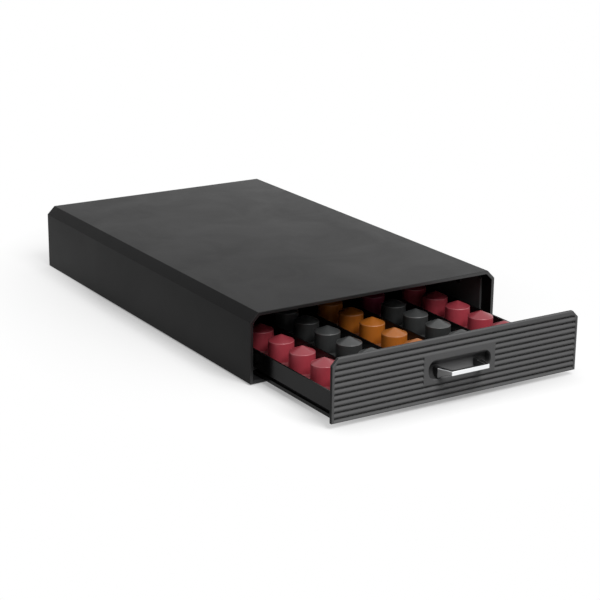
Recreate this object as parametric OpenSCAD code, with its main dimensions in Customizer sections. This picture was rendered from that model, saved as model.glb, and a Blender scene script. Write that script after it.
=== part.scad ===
// Coffee pod drawer: a flat housing with one ribbed-front drawer, whose five
// lanes hold espresso pods standing on their rims.
// Millimetres. +X is to the right seen from the front, +Y runs to the back and
// +Z is up. The origin lies on the table, under the centre of the box around
// the whole object with its drawer partly open.

/* [Housing] */
// Width of the housing
housing_w = 283; // [270:1:320]
// Depth of the housing, front to back
housing_d = 450; // [440:1:520]
// Height of the housing without its feet
housing_h = 69; // [66:1:90]
// Thickness of the cover's walls
cover_wall = 3.4; // [2.4:0.2:4]
// Size of the 45 degree chamfer along the two long top edges
cover_chamfer = 8.6; // [6:0.2:10]
// Small rounding of the cover's outer corners
cover_round = 1.0; // [0.4:0.1:1.2]
// Thickness of the base plate
base_t = 3.2; // [2.8:0.2:4]
// Thickness of the back panel
back_t = 3; // [2:0.5:4]
// Gap around the base plate and the back panel
seam_gap = 0.1; // [0.05:0.05:0.2]

/* [Feet and bumpers] */
// Diameter of a rubber foot
foot_d = 14; // [10:1:18]
// Height by which a foot stands out of the base plate
foot_proud = 0.8; // [0.6:0.1:2]
// Depth of the pocket that a foot is glued in
foot_pocket = 1.2; // [0.8:0.1:1.6]
// Distance of a foot's centre from the housing's edges
foot_inset = 22; // [16:1:30]
// Diameter of a rubber bumper
bumper_d = 8; // [6:1:10]
// Length of a rubber bumper in front of its post
bumper_len = 3; // [2:0.5:5]
// Diameter of a bumper's stem
bumper_stem_d = 3.6; // [3:0.2:4]

/* [Guide rails] */
// Distance of a rail's front end behind the housing's front edge
rail_setback = 15; // [10:1:25]
// Thickness of the rail's upright web
rail_web = 2.2; // [1.6:0.2:3]
// Height of the tongue that the drawer hangs on
tongue_h = 2.8; // [2:0.1:3]
// Thickness of the flange that stands on the base plate
flange_t = 2.2; // [1.6:0.2:3]
// Depth of the end post that carries a bumper
post_d = 12; // [8:1:16]
// Running clearance between the drawer and its rails
slide_gap = 0.3; // [0.2:0.05:0.4]

/* [Drawer] */
// How far the drawer stands open as drawn
drawer_open = 131; // [100:1:160]
// Travel of the drawer from closed to its front stop
drawer_travel = 300; // [280:1:310]
// Gap between the drawer's bottom and the base plate
drawer_lift = 0.6; // [0.4:0.1:1]
// Gap between the drawer's side and the rail's web
drawer_side_gap = 6.9; // [6:0.1:8]
// Height of the edge strip under the side channel
strip_h = 3.5; // [3:0.1:4.5]
// Height of the side channel
channel_h = 3.4; // [3:0.1:4]
// Depth of the side channel
channel_d = 3.5; // [3:0.1:4.5]
// Thickness of the chassis' bottom plate
chassis_t = 2.2; // [1.6:0.2:2.6]
// Thickness of the chassis' ribs
rib_t = 1.6; // [1.2:0.2:2]
// Thickness of the pod tray's floor
tray_floor = 1.5; // [1.2:0.1:2]
// Thickness of the pod tray's walls
tray_wall = 2; // [1.6:0.2:3]
// Height of the pod tray's walls, with its floor
tray_h = 17.8; // [16:0.1:24]

/* [Pods and lanes] */
// Number of lanes
lanes = 5; // [5:1:5]
// Number of pods that stand in each lane
rows = 6; // [2:1:9]
// Diameter of a pod's rim
pod_rim_d = 37; // [36:0.5:37.5]
// Height of a pod
pod_h = 28.3; // [27:0.1:30]
// Diameter of a pod's body at its rim
pod_foot_d = 26; // [24:0.2:31]
// Diameter of a pod's body at its shoulder
pod_shoulder_d = 24.5; // [22:0.5:26]
// Height of a pod's shoulder
pod_shoulder_z = 22.5; // [20:0.5:23]
// Thickness of a pod's wall, which stands for its shell and its filling
pod_wall = 0.6; // [0.4:0.1:1]
// Thickness of a pod's foil lid
pod_lid = 0.3; // [0.2:0.1:0.5]
// Thickness of a lane divider's web
divider_t = 1.6; // [1.2:0.2:2]
// Height of a divider's top above the tray wall's top
divider_rise = 1; // [0:0.1:2]
// Width of the ledges along the tray's side walls
side_ledge = 5.1; // [4:0.1:6]
// Height of the guide ledges beside the pods' rims
ledge_h = 2; // [1.5:0.5:3]
// Clearance between a pod's rim and a ledge
rim_gap = 0.4; // [0.3:0.1:0.6]
// Width of the ledges across the lanes' ends
end_ledge = 4.4; // [4:0.1:5]

/* [Front panel] */
// Thickness of the front panel
front_t = 3.4; // [3:0.2:4]
// Gap between the front panel and the cover's side walls
front_gap = 0.9; // [0.6:0.1:1.2]
// Gap between the front panel and the cover's top
front_top_gap = 1.6; // [1:0.1:2]
// Gap between the front panel and the base plate
front_lift = 1.6; // [1.2:0.1:3]
// Height of the lowest groove above the base plate
groove_first = 4.9; // [4.6:0.1:7]
// Distance between two grooves
groove_pitch = 5.5; // [5:0.1:5.6]
// Number of grooves
grooves = 10; // [8:1:10]
// Depth of a groove
groove_depth = 2.4; // [1:0.1:2.4]
// Plain margin at the grooves' outer ends
groove_margin = 2.8; // [2:0.1:4]
// Width of the plain field around the finger recess
field_w = 80; // [76:1:90]
// Lowest groove that the plain field interrupts
field_first = 3; // [2:1:4]
// Highest groove that the plain field interrupts
field_last = 7; // [6:1:8]

/* [Finger recess] */
// Width of the finger recess
recess_w = 70; // [66:1:72]
// Height of the recess' lower edge above the base plate
recess_low = 21.9; // [21:0.1:24]
// Height of the recess' upper edge above the base plate
recess_high = 41.3; // [40:0.1:44]
// Depth of the recess
recess_depth = 8; // [7:0.2:8.4]
// Height of the recess' deepest line above its lower edge
recess_turn = 11; // [7:0.5:12]
// Rounding of the recess' ends
recess_round = 9; // [6:0.5:9.5]
// Thickness of the shell behind the recess
recess_shell = 1.8; // [1.4:0.2:2.2]

/* [Handle] */
// Width of the handle at the front panel
handle_w = 50; // [44:1:54]
// Width of the handle at its front bar
handle_front_w = 42; // [36:0.2:46]
// Reach of the handle in front of the panel
handle_reach = 16; // [14:0.5:22]
// Thickness of the handle's front bar
bar_t = 3; // [2.4:0.2:4]
// Thickness of the handle's arms at the bar
arm_t = 3; // [2.4:0.2:4]
// Thickness of the handle's arms at their roots, which the screws enter
root_t = 4.6; // [4.2:0.2:5.4]
// Height of the arms' lower edge above the base plate, at the panel
arm_low = 23.5; // [23:0.1:25]
// Height of an arm at the panel
arm_h = 9; // [8:0.2:10]
// Height of the front bar's lower edge above the base plate
bar_low = 29.2; // [27:0.1:31]
// Height of the front bar
bar_h = 4.2; // [4:0.2:6]
// Depth of the handle's roots behind the panel's face
seat_depth = 7.4; // [6:0.1:7.6]

/* [Screws] */
// Radius of a screw's shank
shank_r = 1.15; // [1:0.05:1.2]
// Clearance between a shank and the pilot bore it is driven in
pilot_gap = 0.05; // [0.02:0.01:0.1]
// Clearance between a shank and the hole it passes through
hole_gap = 0.5; // [0.3:0.1:0.6]
// Radius of a screw's head
head_r = 2.6; // [2.2:0.1:2.8]
// Height of a screw's head
head_h = 1.2; // [1:0.1:1.4]
// Clearance around a sunk screw head
sink_gap = 0.4; // [0.2:0.1:0.6]
// Radius of a screw boss
boss_r = 3.2; // [2.8:0.1:3.4]

/* [Hidden] */
$fn = 48;
eps = 0.01;
side_names = [-1, 1];

// Places of n things spread evenly from a to b
function spread(a, b, n) = [for (i = [0 : n - 1]) a + i * (b - a) / (n - 1)];

// housing, measured from its underside
half_w = housing_w / 2;
inner_half = half_w - cover_wall;
inner_top = housing_h - cover_wall;
inner_chamfer = cover_chamfer - cover_wall * (2 - sqrt(2));
back_front = housing_d - back_t;

// drawer heights
chassis_z = base_t + drawer_lift;
channel_z = chassis_z + strip_h;
tray_z = channel_z + channel_h;
pod_z = tray_z + tray_floor;
tray_top = tray_z + tray_h;
divider_top = tray_top + divider_rise;

// drawer plan, measured from the front panel's face
web_x = inner_half - rail_web;
tray_half = web_x - drawer_side_gap;
channel_x = tray_half - channel_d;
tray_front = front_t;
row_start = tray_front + tray_wall + end_ledge + rim_gap / 4;
row_end = rim_gap / 4 + end_ledge + tray_wall;
stop_room = slide_gap + bumper_len + post_d;
lane_room = floor((back_front - stop_room - row_end - row_start) / pod_rim_d);
lane_len = lane_room * pod_rim_d;
tray_back = row_start + lane_len + row_end;
outer_lane = tray_half - tray_wall - side_ledge - rim_gap - pod_rim_d / 2;
lane_pitch = 2 * outer_lane / (lanes - 1);
divider_foot = lane_pitch - pod_rim_d - 2 * rim_gap;
divider_x = [for (i = [1 : lanes - 1]) (i - lanes / 2) * lane_pitch];

// front panel, measured from the housing's underside
front_half = inner_half - front_gap;
front_low = base_t + front_lift;
front_high = inner_top - front_top_gap;
front_cut = inner_chamfer - front_gap + front_top_gap * (sqrt(2) - 1);
recess_z0 = base_t + recess_low;
recess_z1 = base_t + recess_high;
recess_back = recess_depth + recess_shell;
front_boss_z = base_t + groove_first + 2.5 * groove_pitch;
front_boss_len = tray_wall / 2;
front_boss_x = [for (i = [-2, -1, 1, 2]) i * lane_pitch];

// handle
arm_z = base_t + arm_low;
bar_z = base_t + bar_low;
seat_x = (handle_w - root_t) / 2;
seat_z = arm_z + arm_h / 2;

// rails, measured from the housing's front edge
tongue_z = channel_z + (channel_h - tongue_h) / 2;
tongue_x = channel_x + slide_gap;
flange_x = tray_half + 0.8;
web_top = inner_top - inner_chamfer - 1.4;
post_front = tray_back + slide_gap + bumper_len;
post_x = tongue_x - 10;
post_top = base_t + 24;
rail_end = post_front + post_d;
rail_len = rail_end - rail_setback;
rail_boss_x = tray_half + 4.8;
rail_boss_inset = 25;
rail_boss_y = spread(rail_setback + rail_boss_inset, rail_end - rail_boss_inset, 3);
bumper_x = post_x + bumper_d / 2 + 2;
bumper_z = pod_z + 6;
peg_r = 2;
peg_head_r = 3.2;
peg_head_t = 0.8;
peg_z = web_top - 11.6;
peg_inset = 18;
peg_y = spread(rail_setback + 2 * peg_inset, rail_end - peg_inset, 5);
peg_gap = 0.15;

// front stops: a block on each rail meets a clip on the drawer
stop_z = tray_z + 3.6;
stop_h = 7.4;
stop_d = 6;
clip_plate = 1.4;
clip_lug = 4.8;
clip_len = 20;
clip_stop = rail_setback + stop_d + slide_gap + drawer_travel;
clip_peg_r = 2;
clip_peg_gap = 0.1;

// back panel screws
back_boss_inset = 46.5;
back_boss_x = half_w - back_boss_inset;
back_boss_len = 12;
back_boss_low = base_t + boss_r + 0.4;
back_boss_high = inner_top - boss_r - 1.6;
back_hole_z = [back_boss_low, back_boss_high];

// chassis screws
tray_screw_inset = 57;
tray_screw_x = [-lane_pitch, lane_pitch];
tray_screw_y = spread(tray_front + tray_screw_inset, tray_back - tray_screw_inset, 3);
tray_boss_r = 3;

// pods stand side by side with a hair of room
pod_rim_r = pod_rim_d / 2 - 0.05;

screw_bite = 9;
short_bite = 5;
front_bite = 3.4;
handle_bite = 6.8;
handle_bore = 5.4;
drive_w = 0.8;
drive_l = 3.2;

mid_y = (housing_d - drawer_open - handle_reach) / 2;

// ---------- helpers ----------

// Points of an outline whose corners are rounded by arcs of radius r[i]
function unit(v) = v / norm(v);
function turn(a) = a > 180 ? a - 360 : a < -180 ? a + 360 : a;
function corner(a, p, b, r, n) =
    let (
        u = unit(a - p),
        w = unit(b - p),
        half = acos(u * w) / 2,
        centre = p + unit(u + w) * r / sin(half),
        s = p + u * r / tan(half) - centre,
        e = p + w * r / tan(half) - centre,
        a0 = atan2(s[1], s[0]),
        sweep = turn(atan2(e[1], e[0]) - a0)
    )
    [for (i = [0 : n]) centre + r * [cos(a0 + sweep * i / n), sin(a0 + sweep * i / n)]];
function rounded(pts, r, n = 4) =
    let (k = len(pts))
    [for (i = [0 : k - 1])
        each (r[i] > 0 ? corner(pts[(i + k - 1) % k], pts[i], pts[(i + 1) % k], r[i], n) : [pts[i]])];

// Moves a part from the housing's or the drawer's own frame into the shared frame
module in_housing() {
    translate([0, -mid_y, foot_proud]) children();
}

module in_drawer() {
    translate([0, -mid_y - drawer_open, foot_proud]) children();
}

// Extrudes an outline in X and Z along +Y, from y to y + len
module along_y(y, len) {
    translate([0, y + len, 0]) rotate([90, 0, 0]) linear_extrude(len) children();
}

// Extrudes an outline in Y and Z along +X, from x to x + len
module along_x(x, len) {
    translate([x, 0, 0]) rotate([90, 0, 90]) linear_extrude(len) children();
}

module rod_y(x, y, z, r, len) {
    translate([x, y, z]) rotate([-90, 0, 0]) cylinder(h = len, r = r);
}

module rod_x(x, y, z, r, len) {
    translate([x, y, z]) rotate([0, 90, 0]) cylinder(h = len, r = r);
}

// A pan-head screw that points along +Z, with the underside of its head at z = 0
module screw(bite) {
    difference() {
        union() {
            translate([0, 0, -head_h]) cylinder(h = head_h, r = head_r);
            cylinder(h = bite, r = shank_r);
        }
        for (a = [0, 90])
            rotate([0, 0, a])
                translate([-drive_l / 2, -drive_w / 2, -head_h - eps])
                    cube([drive_l, drive_w, head_h / 2 + eps]);
    }
}

// ---------- housing ----------

function cover_outline() = rounded(
    [[-half_w, 0], [-half_w, housing_h - cover_chamfer], [cover_chamfer - half_w, housing_h],
     [half_w - cover_chamfer, housing_h], [half_w, housing_h - cover_chamfer], [half_w, 0],
     [inner_half, 0], [inner_half, inner_top - inner_chamfer], [inner_half - inner_chamfer, inner_top],
     [inner_chamfer - inner_half, inner_top], [-inner_half, inner_top - inner_chamfer], [-inner_half, 0]],
    [cover_round, cover_round, cover_round, cover_round, cover_round, cover_round, 0, 0, 0, 0, 0, 0]);

module rail_peg(side, y) {
    mirror([side < 0 ? 1 : 0, 0, 0]) {
        rod_x(web_x - eps, y, peg_z, peg_r, rail_web + 2 * eps);
        rod_x(web_x - peg_head_t, y, peg_z, peg_head_r, peg_head_t);
    }
}

module back_boss(x, z, reach) {
    rod_y(x, back_front - back_boss_len, z, boss_r, back_boss_len);
    translate([x - 1.5, back_front - back_boss_len, min(z, z + reach)])
        cube([3, back_boss_len, abs(reach)]);
}

module housing_cover() {
    color("#2c2c2e")
        difference() {
            union() {
                along_y(0, housing_d) polygon(cover_outline());
                for (side = side_names, y = peg_y)
                    rail_peg(side, y);
                for (x = [-back_boss_x, back_boss_x])
                    back_boss(x, back_boss_high, inner_top - back_boss_high + eps);
            }
            for (x = [-back_boss_x, back_boss_x])
                rod_y(x, back_front - screw_bite - 1, back_boss_high, shank_r + pilot_gap, screw_bite + 2);
        }
}

module housing_base() {
    base_half = inner_half - seam_gap;
    color("#262628")
        difference() {
            union() {
                translate([-base_half, 0, 0]) cube([2 * base_half, housing_d, base_t]);
                for (x = [-back_boss_x, back_boss_x])
                    back_boss(x, back_boss_low, base_t - back_boss_low - eps);
            }
            for (x = [-back_boss_x, back_boss_x])
                rod_y(x, back_front - screw_bite - 1, back_boss_low, shank_r + pilot_gap, screw_bite + 2);
            for (side = side_names, y = [foot_inset, housing_d - foot_inset])
                translate([side * (half_w - foot_inset), y, -eps])
                    cylinder(h = foot_pocket + eps, r = foot_d / 2 + seam_gap);
            for (side = side_names, y = rail_boss_y)
                translate([side * rail_boss_x, y, 0]) {
                    translate([0, 0, -eps]) cylinder(h = base_t + 2 * eps, r = shank_r + hole_gap);
                    translate([0, 0, -eps]) cylinder(h = head_h + 0.2 + eps, r = head_r + sink_gap);
                }
        }
}

module back_panel() {
    panel_half = inner_half - seam_gap;
    panel_top = inner_top - seam_gap;
    panel_cut = inner_chamfer - seam_gap * (2 - sqrt(2));
    color("#262628")
        difference() {
            along_y(back_front, back_t)
                polygon([[-panel_half, base_t], [-panel_half, panel_top - panel_cut],
                         [panel_cut - panel_half, panel_top], [panel_half - panel_cut, panel_top],
                         [panel_half, panel_top - panel_cut], [panel_half, base_t]]);
            for (x = [-back_boss_x, back_boss_x], z = back_hole_z) {
                rod_y(x, back_front - eps, z, shank_r + hole_gap, back_t + 2 * eps);
                rod_y(x, housing_d - head_h - 0.2, z, head_r + sink_gap, head_h + 0.2 + eps);
            }
        }
}

// The right rail; the left one is its mirror image
module guide_rail() {
    color("#1f1f21")
        difference() {
            union() {
                translate([web_x, rail_setback, base_t]) cube([rail_web, rail_len, web_top - base_t]);
                translate([flange_x, rail_setback, base_t])
                    cube([inner_half - flange_x, rail_len, flange_t]);
                translate([tongue_x, rail_setback, tongue_z])
                    cube([inner_half - tongue_x, rail_len, tongue_h]);
                for (y = rail_boss_y)
                    translate([rail_boss_x, y, base_t]) cylinder(h = tongue_z - base_t + eps, r = boss_r);
                translate([tray_half + clip_plate + 0.6, rail_setback, stop_z])
                    cube([web_x - tray_half - clip_plate - 0.6 + eps, stop_d, stop_h]);
                translate([post_x, post_front, base_t])
                    cube([inner_half - post_x, post_d, post_top - base_t]);
            }
            for (y = rail_boss_y)
                translate([rail_boss_x, y, base_t - eps])
                    cylinder(h = tongue_z + tongue_h - base_t - 0.8, r = shank_r + pilot_gap);
            for (y = peg_y)
                rod_x(web_x - eps, y, peg_z, peg_r + peg_gap, rail_web + 2 * eps);
            rod_y(bumper_x, post_front - eps, bumper_z, bumper_stem_d / 2 + pilot_gap, post_d / 2);
        }
}

module guide_rail_left() {
    mirror([1, 0, 0]) guide_rail();
}

module guide_rail_right() {
    guide_rail();
}

module foot(side, y) {
    foot_r = foot_d / 2;
    color("#101010")
        translate([side * (half_w - foot_inset), y, -foot_proud])
            rotate_extrude()
                polygon([[0, 0], [foot_r - 0.5, 0], [foot_r, 0.5],
                         [foot_r, foot_proud + foot_pocket], [0, foot_proud + foot_pocket]]);
}

module bumper(side) {
    bumper_r = bumper_d / 2;
    stem = post_d / 2 - 1;
    color("#151515")
        translate([side * bumper_x, post_front, bumper_z])
            rotate([90, 0, 0])
                rotate_extrude()
                    polygon([[0, -stem], [bumper_stem_d / 2, -stem], [bumper_stem_d / 2, 0], [bumper_r, 0],
                             [bumper_r, bumper_len - 0.8], [bumper_r - 0.8, bumper_len], [0, bumper_len]]);
}

module base_screws() {
    color("#8a8a8c")
        for (side = side_names, y = rail_boss_y)
            translate([side * rail_boss_x, y, head_h + 0.2]) screw(short_bite);
}

module back_screws() {
    color("#8a8a8c")
        for (x = [-back_boss_x, back_boss_x], z = back_hole_z)
            translate([x, housing_d - head_h - 0.2, z]) rotate([90, 0, 0]) screw(screw_bite);
}

// ---------- drawer ----------

module drawer_chassis() {
    len = tray_back - tray_front;
    wall_x = channel_x - tray_wall;
    color("#2a2a2c")
        difference() {
            union() {
                translate([-tray_half, tray_front, chassis_z]) cube([2 * tray_half, len, chassis_t]);
                for (side = side_names)
                    mirror([side < 0 ? 1 : 0, 0, 0]) {
                        translate([channel_x - eps, tray_front, chassis_z])
                            cube([channel_d + eps, len, strip_h]);
                        translate([wall_x, tray_front, chassis_z])
                            cube([tray_wall, len, tray_z - chassis_z]);
                    }
                for (x = divider_x)
                    translate([x - rib_t / 2, tray_front, chassis_z]) cube([rib_t, len, tray_z - chassis_z]);
                for (y = [tray_front, tray_back - tray_wall])
                    translate([-wall_x - eps, y, chassis_z])
                        cube([2 * (wall_x + eps), tray_wall, tray_z - chassis_z]);
            }
            for (x = tray_screw_x, y = tray_screw_y)
                translate([x, y, chassis_z - eps]) {
                    cylinder(h = chassis_t + 2 * eps, r = shank_r + hole_gap);
                    cylinder(h = head_h + 0.1 + eps, r = head_r + sink_gap);
                }
        }
}

module tray_ledges() {
    inner = tray_half - tray_wall;
    len = tray_back - tray_front;
    for (side = side_names)
        mirror([side < 0 ? 1 : 0, 0, 0])
            translate([inner - side_ledge, tray_front, pod_z - eps]) cube([side_ledge + eps, len, ledge_h + eps]);
    for (y = [tray_front + tray_wall - eps, tray_back - tray_wall - end_ledge])
        translate([-inner, y, pod_z - eps]) cube([2 * inner, end_ledge + eps, ledge_h + eps]);
}

module pod_tray() {
    len = tray_back - tray_front;
    color("#2a2a2c")
        difference() {
            union() {
                translate([-tray_half, tray_front, tray_z]) cube([2 * tray_half, len, tray_floor]);
                for (x = [-tray_half, tray_half - tray_wall])
                    translate([x, tray_front, tray_z]) cube([tray_wall, len, tray_h]);
                for (y = [tray_front, tray_back - tray_wall])
                    translate([-tray_half, y, tray_z]) cube([2 * tray_half, tray_wall, tray_h]);
                tray_ledges();
                for (x = tray_screw_x, y = tray_screw_y)
                    translate([x, y, chassis_z + chassis_t])
                        cylinder(h = tray_z - chassis_z - chassis_t + eps, r = tray_boss_r);
            }
            for (x = tray_screw_x, y = tray_screw_y)
                translate([x, y, chassis_z + chassis_t - eps])
                    cylinder(h = short_bite + 0.4, r = shank_r + pilot_gap);
            for (x = front_boss_x) {
                rod_y(x, tray_front - eps, front_boss_z, boss_r + 0.2, front_boss_len + eps);
                rod_y(x, tray_front - eps, front_boss_z, shank_r + hole_gap, tray_wall + 2 * eps);
            }
            translate([-recess_w / 2 - recess_shell - 0.5, tray_front - 1, recess_z0 - recess_shell - 0.5])
                cube([recess_w + 2 * recess_shell + 1, tray_wall + 2, tray_h]);
            for (side = side_names)
                rod_x(side * (tray_half - tray_wall / 2) - tray_wall, clip_stop + clip_len / 2,
                      stop_z + stop_h / 2, clip_peg_r + clip_peg_gap, 2 * tray_wall);
        }
}

// The web steps back over its front end, to clear the shell behind the finger recess
module divider(i) {
    web_y = tray_front + tray_wall + 0.2;
    foot_y = row_start + 0.2;
    clear_y = recess_back + head_h + 1.2;
    clear_z = recess_z0 - recess_shell - 1;
    end_y = tray_back - tray_wall - 0.2;
    foot_len = lane_len - 0.4;
    color("#1d1d1f")
        translate([divider_x[i], 0, 0]) {
            along_x(-divider_t / 2, divider_t)
                polygon([[web_y, pod_z + ledge_h], [foot_y, pod_z + ledge_h], [foot_y, pod_z],
                         [foot_y + foot_len, pod_z], [foot_y + foot_len, pod_z + ledge_h],
                         [end_y, pod_z + ledge_h], [end_y, divider_top], [clear_y, divider_top],
                         [clear_y, clear_z], [web_y, clear_z]]);
            translate([-divider_foot / 2, foot_y, pod_z]) cube([divider_foot, foot_len, ledge_h]);
        }
}

// ---------- front panel ----------

function half_at(z) = min(front_half, front_half + front_high - front_cut - z);

// Depth of a groove at s, from 0 in its middle to 1 on the crest beside it
function groove_at(s) = groove_depth * pow(1 - s, 2);
groove_steps = [-1, -0.8, -0.6, -0.42, -0.26, -0.12, 0, 0.12, 0.26, 0.42, 0.6, 0.8, 1];

module groove(x0, x1, z) {
    along_x(x0, x1 - x0)
        polygon(concat([for (s = groove_steps) [groove_at(abs(s)), z + s * groove_pitch / 2]],
                       [[-1, z + groove_pitch / 2], [-1, z - groove_pitch / 2]]));
}

module all_grooves() {
    for (i = [0 : grooves - 1]) {
        z = base_t + groove_first + i * groove_pitch;
        end = half_at(z + groove_pitch / 3) - groove_margin;
        if (i >= field_first && i <= field_last) {
            groove(-end, -field_w / 2, z);
            groove(field_w / 2, end, z);
        } else {
            groove(-end, end, z);
        }
    }
}

// The recess starts flush at its upper edge, deepens downwards and ends on a floor
function recess_profile() =
    let (turn_z = recess_z0 + recess_turn, floor_steps = 8, fall_steps = 10)
    concat(
        [for (i = [0 : fall_steps])
            [recess_depth * (1 - cos(180 * i / fall_steps)) / 2,
             recess_z1 + (turn_z - recess_z1) * i / fall_steps]],
        [for (i = [1 : floor_steps])
            [recess_depth * cos(90 * i / floor_steps),
             turn_z + (recess_z0 - turn_z) * sin(90 * i / floor_steps)]]);

module finger_recess() {
    intersection() {
        along_x(-recess_w / 2, recess_w)
            polygon(concat(recess_profile(), [[-1, recess_z0], [-1, recess_z1]]));
        along_y(-2, recess_depth + 4)
            polygon(rounded([[-recess_w / 2, recess_z0], [recess_w / 2, recess_z0],
                             [recess_w / 2, recess_z1], [-recess_w / 2, recess_z1]],
                            [recess_round, recess_round, recess_round, recess_round], 8));
    }
}

module handle_seats(y, len, grow) {
    for (side = side_names)
        translate([side * seat_x - root_t / 2 - grow, y, arm_z - grow])
            cube([root_t + 2 * grow, len, arm_h + 2 * grow]);
}

module front_panel() {
    color("#3a3a3c")
        difference() {
            union() {
                difference() {
                    union() {
                        along_y(0, front_t)
                            polygon(rounded(
                                [[-front_half, front_low], [-front_half, front_high - front_cut],
                                 [front_cut - front_half, front_high], [front_half - front_cut, front_high],
                                 [front_half, front_high - front_cut], [front_half, front_low]],
                                [1.5, 1, 1, 1, 1, 1.5]));
                        along_x(-recess_w / 2 - recess_shell, recess_w + 2 * recess_shell)
                            polygon([[front_t - eps, recess_z0 - recess_shell],
                                     [recess_back, recess_z0 - recess_shell],
                                     [recess_back, recess_z1 - 8], [front_t - eps, recess_z1]]);
                        for (x = front_boss_x)
                            rod_y(x, front_t - eps, front_boss_z, boss_r, front_boss_len + eps);
                    }
                    all_grooves();
                    finger_recess();
                }
                handle_seats(seat_depth, recess_back - seat_depth, 0.2);
            }
            handle_seats(-1, seat_depth + 1, 0.1);
            for (side = side_names)
                rod_y(side * seat_x, seat_depth - eps, seat_z, shank_r + hole_gap, recess_back);
            for (x = front_boss_x)
                rod_y(x, front_t - 1.8, front_boss_z, shank_r + pilot_gap, front_boss_len + 2);
        }
}

// A bow whose arms run from their roots in the recess to a narrower front bar
module handle() {
    root = handle_w / 2;
    tip = handle_front_w / 2;
    inner_tip = tip - arm_t * 1.1;
    color("#d8dadc")
        difference() {
            intersection() {
                translate([0, 0, arm_z - 1])
                    linear_extrude(bar_z + bar_h - arm_z + 2)
                        polygon(concat(
                            rounded([[-root, 0], [-tip, -handle_reach], [tip, -handle_reach], [root, 0]],
                                    [0, 0.6, 0.6, 0]),
                            [[root, seat_depth], [root - root_t, seat_depth],
                             [inner_tip, bar_t - handle_reach], [-inner_tip, bar_t - handle_reach],
                             [root_t - root, seat_depth], [-root, seat_depth]]));
                along_x(-root - 1, 2 * root + 2)
                    polygon([[seat_depth, arm_z], [0, arm_z], [bar_t - handle_reach, bar_z],
                             [-handle_reach, bar_z], [-handle_reach, bar_z + bar_h],
                             [bar_t - handle_reach, bar_z + bar_h], [0, arm_z + arm_h],
                             [seat_depth, arm_z + arm_h]]);
            }
            for (side = side_names)
                rod_y(side * seat_x, seat_depth - handle_bore, seat_z, shank_r + pilot_gap, handle_bore + eps);
        }
}

module front_screws() {
    color("#8a8a8c")
        for (x = front_boss_x)
            translate([x, tray_front + tray_wall, front_boss_z]) rotate([90, 0, 0]) screw(front_bite);
}

module handle_screws() {
    color("#8a8a8c")
        for (side = side_names)
            translate([side * seat_x, recess_back, seat_z]) rotate([90, 0, 0]) screw(handle_bite);
}

module tray_screws() {
    color("#8a8a8c")
        for (x = tray_screw_x, y = tray_screw_y)
            translate([x, y, chassis_z + head_h + 0.1]) screw(short_bite);
}

// The right clip; the left one is its mirror image
module stop_clip() {
    color("#4a4a4c") {
        translate([tray_half, clip_stop, stop_z]) cube([clip_plate, clip_len, stop_h]);
        translate([tray_half, clip_stop, stop_z]) cube([clip_lug, 4, stop_h]);
        rod_x(tray_half - tray_wall, clip_stop + clip_len / 2, stop_z + stop_h / 2, clip_peg_r,
              tray_wall + clip_plate / 2);
    }
}

// ---------- pods ----------

// A pod's cup, upside down on its foil lid
module cup() {
    foot_r = pod_foot_d / 2;
    top_r = pod_shoulder_d / 2;
    tip_r = 2;
    tip_z = pod_h - 0.4;
    slope_z = pod_shoulder_z + 0.6;
    rotate_extrude()
        polygon([[foot_r - pod_wall, pod_lid], [pod_rim_r, pod_lid], [pod_rim_r, pod_lid + 0.6],
                 [foot_r + 0.6, pod_lid + 0.9], [foot_r, pod_lid + 1.7], [top_r, pod_shoulder_z],
                 [top_r - 0.6, slope_z], [tip_r, tip_z], [0, pod_h],
                 [0, pod_h - pod_wall], [tip_r, tip_z - pod_wall],
                 [top_r - 1, slope_z - pod_wall], [top_r - pod_wall, pod_shoulder_z - 0.3]]);
}

module at_pod(lane, row) {
    translate([(lane - (lanes + 1) / 2) * lane_pitch, row_start + (row - 0.5) * pod_rim_d, pod_z]) children();
}

module pods_in(lane, first, last, tint) {
    color(tint)
        for (row = [first : last])
            at_pod(lane, row) cup();
}

module pod_lids() {
    color("#b8b8ba")
        for (lane = [1 : lanes], row = [1 : rows])
            at_pod(lane, row) cylinder(h = pod_lid, r = pod_rim_r);
}

// ---------- nodes ----------

in_housing() housing_cover();
in_housing() housing_base();
in_housing() back_panel();
in_housing() guide_rail_left();
in_housing() guide_rail_right();
in_housing() foot(-1, foot_inset);  // foot_front_left
in_housing() foot(1, foot_inset);  // foot_front_right
in_housing() foot(-1, housing_d - foot_inset);  // foot_rear_left
in_housing() foot(1, housing_d - foot_inset);  // foot_rear_right
in_housing() bumper(-1);  // bumper_left
in_housing() bumper(1);  // bumper_right
in_housing() base_screws();
in_housing() back_screws();
in_drawer() drawer_chassis();
in_drawer() pod_tray();
in_drawer() divider(0);  // divider_1
in_drawer() divider(1);  // divider_2
in_drawer() divider(2);  // divider_3
in_drawer() divider(3);  // divider_4
in_drawer() front_panel();
in_drawer() handle();
in_drawer() front_screws();
in_drawer() handle_screws();
in_drawer() tray_screws();
in_drawer() mirror([1, 0, 0]) stop_clip();  // stop_clip_left
in_drawer() stop_clip();  // stop_clip_right
in_drawer() pods_in(1, 1, rows, "#a83248");  // pods_lane_1
in_drawer() pods_in(2, 1, rows, "#48484a");  // pods_lane_2
in_drawer() pods_in(3, 1, rows, "#c8782c");  // pods_lane_3
in_drawer() pods_in(4, 1, rows - 1, "#48484a");  // pods_lane_4
in_drawer() pods_in(4, rows, rows, "#5a1626");  // pods_lane_4_rear
in_drawer() pods_in(5, 1, rows, "#a83248");  // pods_lane_5
in_drawer() pod_lids();
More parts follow.
